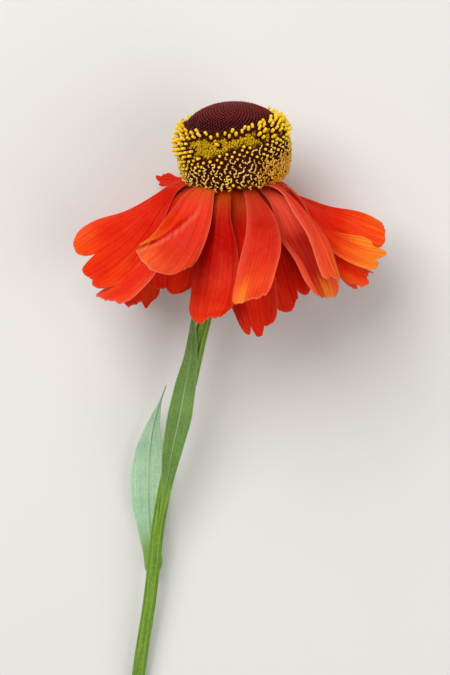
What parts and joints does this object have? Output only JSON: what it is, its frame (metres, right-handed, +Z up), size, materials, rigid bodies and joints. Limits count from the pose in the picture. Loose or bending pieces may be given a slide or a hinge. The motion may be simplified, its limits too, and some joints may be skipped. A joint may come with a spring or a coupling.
{
  "type": "sneezeweed cut flower",
  "caption": "Cut sneezeweed flower lying down: round floret disc, skirt of notched red and orange petals, ribbed stem with leaves.",
  "frame": {"origin": "on the table, under the middle of the flower's box", "axes": "+Y along the flower from the cut end of the stem to the disc, +Z up from the table, +X to the right of the bloom seen from above"},
  "size_m": [0.0547, 0.1167, 0.0391],
  "materials": {
    "disc_bud_cap": "packed closed buds, dark maroon, dull",
    "disc_anther_belt": "golden granular florets with yellow anther sticks",
    "disc_open_florets": "dark brown open florets with pale yellow curled styles",
    "petal_orange": "satin petal, orange-red with fine long veins",
    "petal_red": "satin petal, deep red with fine long veins",
    "green_cup": "soft green, finely hairy",
    "green_stem": "ribbed green stem, satin",
    "leaf": "mid green leaf, satin",
    "pale_leaf": "pale blue-green underside of a leaf, dull"
  },
  "bodies": {
    "root": {"disc_bud_cap": "disc_bud_cap", "disc_anther_belt": "disc_anther_belt", "disc_open_florets": "disc_open_florets", "petal_01": "petal_red", "petal_02": "petal_orange", "petal_03": "petal_red", "petal_04": "petal_orange", "petal_05": "petal_red", "petal_06": "petal_red", "petal_07": "petal_orange", "petal_08": "petal_red", "petal_09": "petal_red", "petal_10": "petal_orange", "petal_11": "petal_red", "petal_12": "petal_red", "petal_13": "petal_red", "petal_14": "petal_orange", "petal_15": "petal_red", "petal_16": "petal_red", "petal_17": "petal_orange", "petal_18": "petal_red", "petal_19": "petal_orange", "petal_20": "petal_red", "petal_21": "petal_orange", "petal_22": "petal_red", "petal_23": "petal_red", "cup_and_bracts": "green_cup", "stem": "green_stem", "leaf_upper": "leaf", "leaf_lower": "pale_leaf"}
  },
  "joints": []
}
